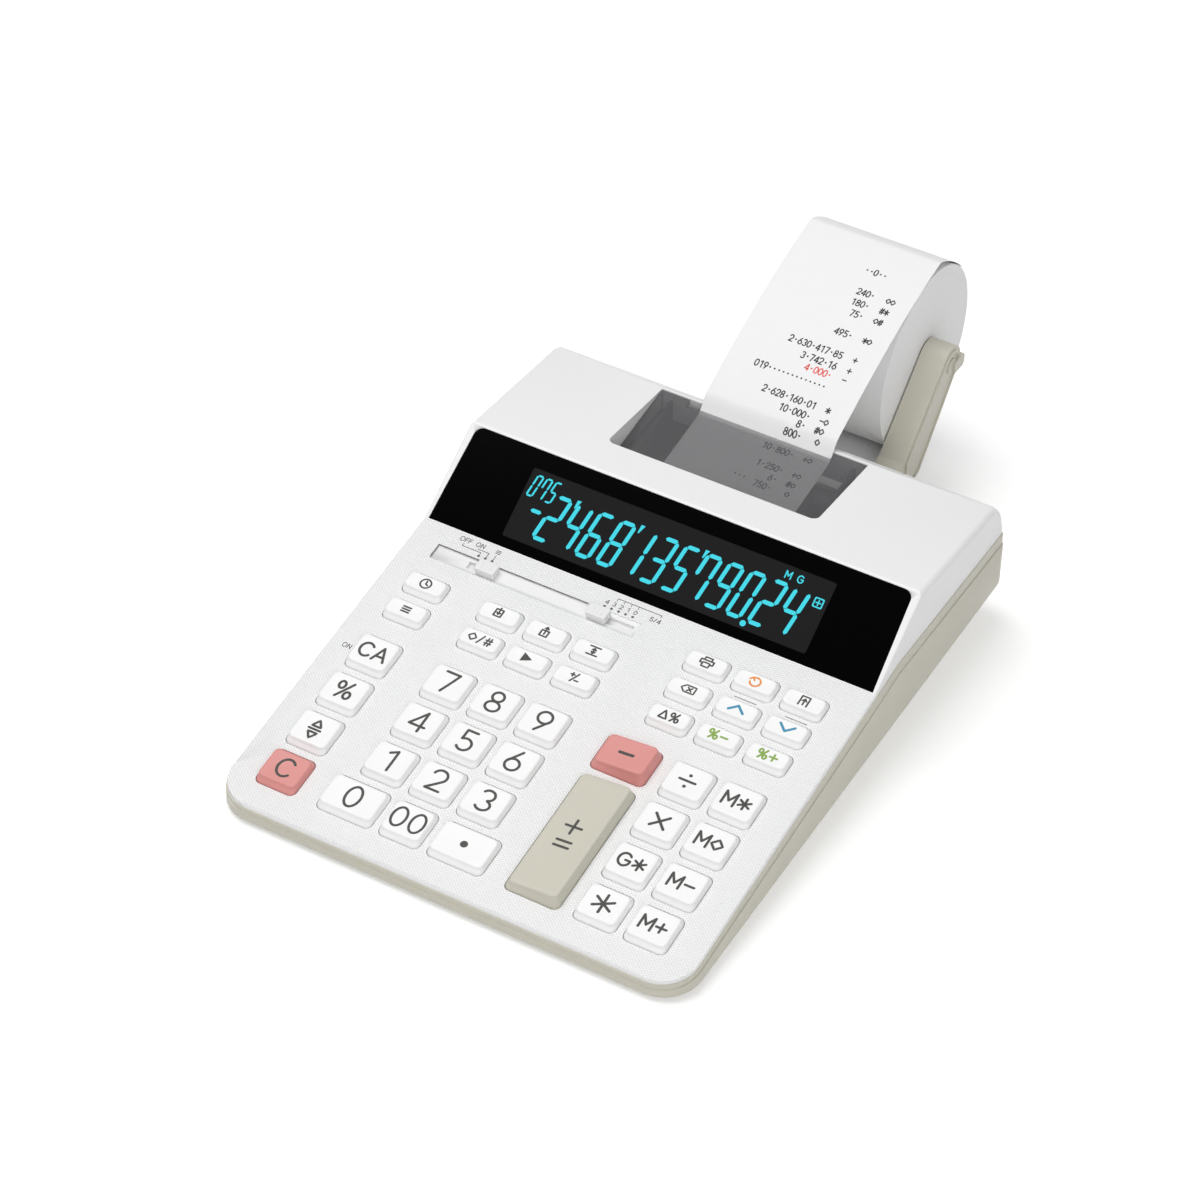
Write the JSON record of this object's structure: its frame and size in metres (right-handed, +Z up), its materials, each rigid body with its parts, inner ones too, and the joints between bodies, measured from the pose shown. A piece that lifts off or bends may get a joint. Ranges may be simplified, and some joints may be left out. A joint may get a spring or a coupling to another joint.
{
  "type": "printing desk calculator",
  "caption": "Printing desk calculator: sloped keyboard with sprung keys, tilted display, smoked printer cover and a paper roll on two rear arms.",
  "frame": {"origin": "middle of the bounding box's bottom face, on the table under the feet", "axes": "+X to the user's right, +Y from the keyboard towards the paper roll, +Z up"},
  "size_m": [0.195, 0.3586, 0.102],
  "materials": {
    "upper_shell": "satin, fine texture on the keyboard deck",
    "lower_shell": "satin",
    "display_gloss": "polished",
    "lcd": "dark glass with lit digits",
    "lcd_digit": "lit segments",
    "smoked_cover": "smoked, clear",
    "mechanism": "satin",
    "platen": "matte",
    "paper": "matte",
    "knob": "satin",
    "circuit": "solder mask green",
    "cell": "plain sleeve",
    "foot": "matte",
    "key_white": "satin",
    "key_pink": "satin",
    "key_greige": "satin",
    "legend_dark": "print",
    "legend_orange": "print",
    "legend_green": "print",
    "legend_blue": "print",
    "legend_white": "print",
    "ink_black": "ribbon ink",
    "ink_red": "ribbon ink"
  },
  "bodies": {
    "case": {"upper_case": "upper_shell", "lower_case": "lower_shell", "display_window": "display_gloss", "lcd_module": "lcd", "printer_frame": "mechanism", "paper_tape": "paper", "keypad_circuit": "circuit", "battery_cells": "cell", "feet_and_screws": "foot"},
    "paper_holder": {"paper_holder": "lower_shell", "paper_feed": "paper"},
    "paper_roll": {"paper_roll": "paper"},
    "printer_cover": {"printer_cover": "smoked_cover"},
    "battery_cover": {"battery_cover": "lower_shell"},
    "power_switch": {"power_switch": "knob"},
    "decimal_switch": {"decimal_switch": "knob"},
    "platen_roller": {"platen_roller": "platen"},
    "key_0": {"key_0": "key_white"},
    "key_1": {"key_1": "key_white"},
    "key_2": {"key_2": "key_white"},
    "key_3": {"key_3": "key_white"},
    "key_4": {"key_4": "key_white"},
    "key_5": {"key_5": "key_white"},
    "key_6": {"key_6": "key_white"},
    "key_7": {"key_7": "key_white"},
    "key_8": {"key_8": "key_white"},
    "key_9": {"key_9": "key_white"},
    "key_00": {"key_00": "key_white"},
    "key_point": {"key_point": "key_white"},
    "key_plus_equals": {"key_plus_equals": "key_greige"},
    "key_minus": {"key_minus": "key_pink"},
    "key_clear": {"key_clear": "key_pink"},
    "key_markup": {"key_markup": "key_white"},
    "key_percent": {"key_percent": "key_white"},
    "key_clear_all": {"key_clear_all": "key_white"},
    "key_subtotal": {"key_subtotal": "key_white"},
    "key_time": {"key_time": "key_white"},
    "key_mark": {"key_mark": "key_white"},
    "key_backspace": {"key_backspace": "key_white"},
    "key_sign": {"key_sign": "key_white"},
    "key_cost": {"key_cost": "key_white"},
    "key_sell": {"key_sell": "key_white"},
    "key_margin": {"key_margin": "key_white"},
    "key_delta": {"key_delta": "key_white"},
    "key_tax_minus": {"key_tax_minus": "key_white"},
    "key_tax_plus": {"key_tax_plus": "key_white"},
    "key_correct": {"key_correct": "key_white"},
    "key_up": {"key_up": "key_white"},
    "key_down": {"key_down": "key_white"},
    "key_print": {"key_print": "key_white"},
    "key_reprint": {"key_reprint": "key_white"},
    "key_feed": {"key_feed": "key_white"},
    "key_total": {"key_total": "key_white"},
    "key_grand_total": {"key_grand_total": "key_white"},
    "key_multiply": {"key_multiply": "key_white"},
    "key_divide": {"key_divide": "key_white"},
    "key_memory_plus": {"key_memory_plus": "key_white"},
    "key_memory_minus": {"key_memory_minus": "key_white"},
    "key_memory_subtotal": {"key_memory_subtotal": "key_white"},
    "key_memory_total": {"key_memory_total": "key_white"}
  },
  "joints": [
    {"name": "paper_holder_hinge", "type": "hinge", "parent": "case", "child": "paper_holder", "pos_m": [0, 0.08865, 0.02372], "axis": [1, 0, 0], "range_deg": [-15, 0]},
    {"name": "paper_roll_spin", "type": "hinge", "parent": "paper_holder", "child": "paper_roll", "pos_m": [0, 0.14075, 0.05994], "axis": [1, 0, 0], "continuous": true},
    {"name": "printer_cover_hinge", "type": "hinge", "parent": "case", "child": "printer_cover", "pos_m": [0, 0.02092, 0.05338], "axis": [1, 0, 0], "range_deg": [0, 75]},
    {"name": "battery_cover_slide", "type": "slide", "parent": "case", "child": "battery_cover", "axis": [0, 1, 0], "range_m": [0, 0.005]},
    {"name": "power_switch_slide", "type": "slide", "parent": "case", "child": "power_switch", "axis": [1, 0, 0], "range_m": [-0.006, 0]},
    {"name": "decimal_switch_slide", "type": "slide", "parent": "case", "child": "decimal_switch", "axis": [1, 0, 0], "range_m": [0, 0.012]},
    {"name": "platen_spin", "type": "hinge", "parent": "case", "child": "platen_roller", "pos_m": [0, 0.02745, 0.04606], "axis": [1, 0, 0], "continuous": true},
    {"name": "key_0_press", "type": "slide", "parent": "case", "child": "key_0", "axis": [0, 0.2079, -0.9781], "range_m": [0, 0.0018], "stiffness_N_per_m": 250, "springref_m": -0.0006},
    {"name": "key_1_press", "type": "slide", "parent": "case", "child": "key_1", "axis": [0, 0.2079, -0.9781], "range_m": [0, 0.0018], "stiffness_N_per_m": 250, "springref_m": -0.0006},
    {"name": "key_2_press", "type": "slide", "parent": "case", "child": "key_2", "axis": [0, 0.2079, -0.9781], "range_m": [0, 0.0018], "stiffness_N_per_m": 250, "springref_m": -0.0006},
    {"name": "key_3_press", "type": "slide", "parent": "case", "child": "key_3", "axis": [0, 0.2079, -0.9781], "range_m": [0, 0.0018], "stiffness_N_per_m": 250, "springref_m": -0.0006},
    {"name": "key_4_press", "type": "slide", "parent": "case", "child": "key_4", "axis": [0, 0.2079, -0.9781], "range_m": [0, 0.0018], "stiffness_N_per_m": 250, "springref_m": -0.0006},
    {"name": "key_5_press", "type": "slide", "parent": "case", "child": "key_5", "axis": [0, 0.2079, -0.9781], "range_m": [0, 0.0018], "stiffness_N_per_m": 250, "springref_m": -0.0006},
    {"name": "key_6_press", "type": "slide", "parent": "case", "child": "key_6", "axis": [0, 0.2079, -0.9781], "range_m": [0, 0.0018], "stiffness_N_per_m": 250, "springref_m": -0.0006},
    {"name": "key_7_press", "type": "slide", "parent": "case", "child": "key_7", "axis": [0, 0.2079, -0.9781], "range_m": [0, 0.0018], "stiffness_N_per_m": 250, "springref_m": -0.0006},
    {"name": "key_8_press", "type": "slide", "parent": "case", "child": "key_8", "axis": [0, 0.2079, -0.9781], "range_m": [0, 0.0018], "stiffness_N_per_m": 250, "springref_m": -0.0006},
    {"name": "key_9_press", "type": "slide", "parent": "case", "child": "key_9", "axis": [0, 0.2079, -0.9781], "range_m": [0, 0.0018], "stiffness_N_per_m": 250, "springref_m": -0.0006},
    {"name": "key_00_press", "type": "slide", "parent": "case", "child": "key_00", "axis": [0, 0.2079, -0.9781], "range_m": [0, 0.0018], "stiffness_N_per_m": 250, "springref_m": -0.0006},
    {"name": "key_point_press", "type": "slide", "parent": "case", "child": "key_point", "axis": [0, 0.2079, -0.9781], "range_m": [0, 0.0018], "stiffness_N_per_m": 250, "springref_m": -0.0006},
    {"name": "key_plus_equals_press", "type": "slide", "parent": "case", "child": "key_plus_equals", "axis": [0, 0.2079, -0.9781], "range_m": [0, 0.0018], "stiffness_N_per_m": 250, "springref_m": -0.0006},
    {"name": "key_minus_press", "type": "slide", "parent": "case", "child": "key_minus", "axis": [0, 0.2079, -0.9781], "range_m": [0, 0.0018], "stiffness_N_per_m": 250, "springref_m": -0.0006},
    {"name": "key_clear_press", "type": "slide", "parent": "case", "child": "key_clear", "axis": [0, 0.2079, -0.9781], "range_m": [0, 0.0018], "stiffness_N_per_m": 250, "springref_m": -0.0006},
    {"name": "key_markup_press", "type": "slide", "parent": "case", "child": "key_markup", "axis": [0, 0.2079, -0.9781], "range_m": [0, 0.0018], "stiffness_N_per_m": 250, "springref_m": -0.0006},
    {"name": "key_percent_press", "type": "slide", "parent": "case", "child": "key_percent", "axis": [0, 0.2079, -0.9781], "range_m": [0, 0.0018], "stiffness_N_per_m": 250, "springref_m": -0.0006},
    {"name": "key_clear_all_press", "type": "slide", "parent": "case", "child": "key_clear_all", "axis": [0, 0.2079, -0.9781], "range_m": [0, 0.0018], "stiffness_N_per_m": 250, "springref_m": -0.0006},
    {"name": "key_subtotal_press", "type": "slide", "parent": "case", "child": "key_subtotal", "axis": [0, 0.2079, -0.9781], "range_m": [0, 0.0018], "stiffness_N_per_m": 250, "springref_m": -0.0006},
    {"name": "key_time_press", "type": "slide", "parent": "case", "child": "key_time", "axis": [0, 0.2079, -0.9781], "range_m": [0, 0.0018], "stiffness_N_per_m": 250, "springref_m": -0.0006},
    {"name": "key_mark_press", "type": "slide", "parent": "case", "child": "key_mark", "axis": [0, 0.2079, -0.9781], "range_m": [0, 0.0018], "stiffness_N_per_m": 250, "springref_m": -0.0006},
    {"name": "key_backspace_press", "type": "slide", "parent": "case", "child": "key_backspace", "axis": [0, 0.2079, -0.9781], "range_m": [0, 0.0018], "stiffness_N_per_m": 250, "springref_m": -0.0006},
    {"name": "key_sign_press", "type": "slide", "parent": "case", "child": "key_sign", "axis": [0, 0.2079, -0.9781], "range_m": [0, 0.0018], "stiffness_N_per_m": 250, "springref_m": -0.0006},
    {"name": "key_cost_press", "type": "slide", "parent": "case", "child": "key_cost", "axis": [0, 0.2079, -0.9781], "range_m": [0, 0.0018], "stiffness_N_per_m": 250, "springref_m": -0.0006},
    {"name": "key_sell_press", "type": "slide", "parent": "case", "child": "key_sell", "axis": [0, 0.2079, -0.9781], "range_m": [0, 0.0018], "stiffness_N_per_m": 250, "springref_m": -0.0006},
    {"name": "key_margin_press", "type": "slide", "parent": "case", "child": "key_margin", "axis": [0, 0.2079, -0.9781], "range_m": [0, 0.0018], "stiffness_N_per_m": 250, "springref_m": -0.0006},
    {"name": "key_delta_press", "type": "slide", "parent": "case", "child": "key_delta", "axis": [0, 0.2079, -0.9781], "range_m": [0, 0.0018], "stiffness_N_per_m": 250, "springref_m": -0.0006},
    {"name": "key_tax_minus_press", "type": "slide", "parent": "case", "child": "key_tax_minus", "axis": [0, 0.2079, -0.9781], "range_m": [0, 0.0018], "stiffness_N_per_m": 250, "springref_m": -0.0006},
    {"name": "key_tax_plus_press", "type": "slide", "parent": "case", "child": "key_tax_plus", "axis": [0, 0.2079, -0.9781], "range_m": [0, 0.0018], "stiffness_N_per_m": 250, "springref_m": -0.0006},
    {"name": "key_correct_press", "type": "slide", "parent": "case", "child": "key_correct", "axis": [0, 0.2079, -0.9781], "range_m": [0, 0.0018], "stiffness_N_per_m": 250, "springref_m": -0.0006},
    {"name": "key_up_press", "type": "slide", "parent": "case", "child": "key_up", "axis": [0, 0.2079, -0.9781], "range_m": [0, 0.0018], "stiffness_N_per_m": 250, "springref_m": -0.0006},
    {"name": "key_down_press", "type": "slide", "parent": "case", "child": "key_down", "axis": [0, 0.2079, -0.9781], "range_m": [0, 0.0018], "stiffness_N_per_m": 250, "springref_m": -0.0006},
    {"name": "key_print_press", "type": "slide", "parent": "case", "child": "key_print", "axis": [0, 0.2079, -0.9781], "range_m": [0, 0.0018], "stiffness_N_per_m": 250, "springref_m": -0.0006},
    {"name": "key_reprint_press", "type": "slide", "parent": "case", "child": "key_reprint", "axis": [0, 0.2079, -0.9781], "range_m": [0, 0.0018], "stiffness_N_per_m": 250, "springref_m": -0.0006},
    {"name": "key_feed_press", "type": "slide", "parent": "case", "child": "key_feed", "axis": [0, 0.2079, -0.9781], "range_m": [0, 0.0018], "stiffness_N_per_m": 250, "springref_m": -0.0006},
    {"name": "key_total_press", "type": "slide", "parent": "case", "child": "key_total", "axis": [0, 0.2079, -0.9781], "range_m": [0, 0.0018], "stiffness_N_per_m": 250, "springref_m": -0.0006},
    {"name": "key_grand_total_press", "type": "slide", "parent": "case", "child": "key_grand_total", "axis": [0, 0.2079, -0.9781], "range_m": [0, 0.0018], "stiffness_N_per_m": 250, "springref_m": -0.0006},
    {"name": "key_multiply_press", "type": "slide", "parent": "case", "child": "key_multiply", "axis": [0, 0.2079, -0.9781], "range_m": [0, 0.0018], "stiffness_N_per_m": 250, "springref_m": -0.0006},
    {"name": "key_divide_press", "type": "slide", "parent": "case", "child": "key_divide", "axis": [0, 0.2079, -0.9781], "range_m": [0, 0.0018], "stiffness_N_per_m": 250, "springref_m": -0.0006},
    {"name": "key_memory_plus_press", "type": "slide", "parent": "case", "child": "key_memory_plus", "axis": [0, 0.2079, -0.9781], "range_m": [0, 0.0018], "stiffness_N_per_m": 250, "springref_m": -0.0006},
    {"name": "key_memory_minus_press", "type": "slide", "parent": "case", "child": "key_memory_minus", "axis": [0, 0.2079, -0.9781], "range_m": [0, 0.0018], "stiffness_N_per_m": 250, "springref_m": -0.0006},
    {"name": "key_memory_subtotal_press", "type": "slide", "parent": "case", "child": "key_memory_subtotal", "axis": [0, 0.2079, -0.9781], "range_m": [0, 0.0018], "stiffness_N_per_m": 250, "springref_m": -0.0006},
    {"name": "key_memory_total_press", "type": "slide", "parent": "case", "child": "key_memory_total", "axis": [0, 0.2079, -0.9781], "range_m": [0, 0.0018], "stiffness_N_per_m": 250, "springref_m": -0.0006}
  ],
  "couplings": [
    {"joint": "paper_roll_spin", "follows": "platen_spin", "ratio": 0.17487}
  ]
}
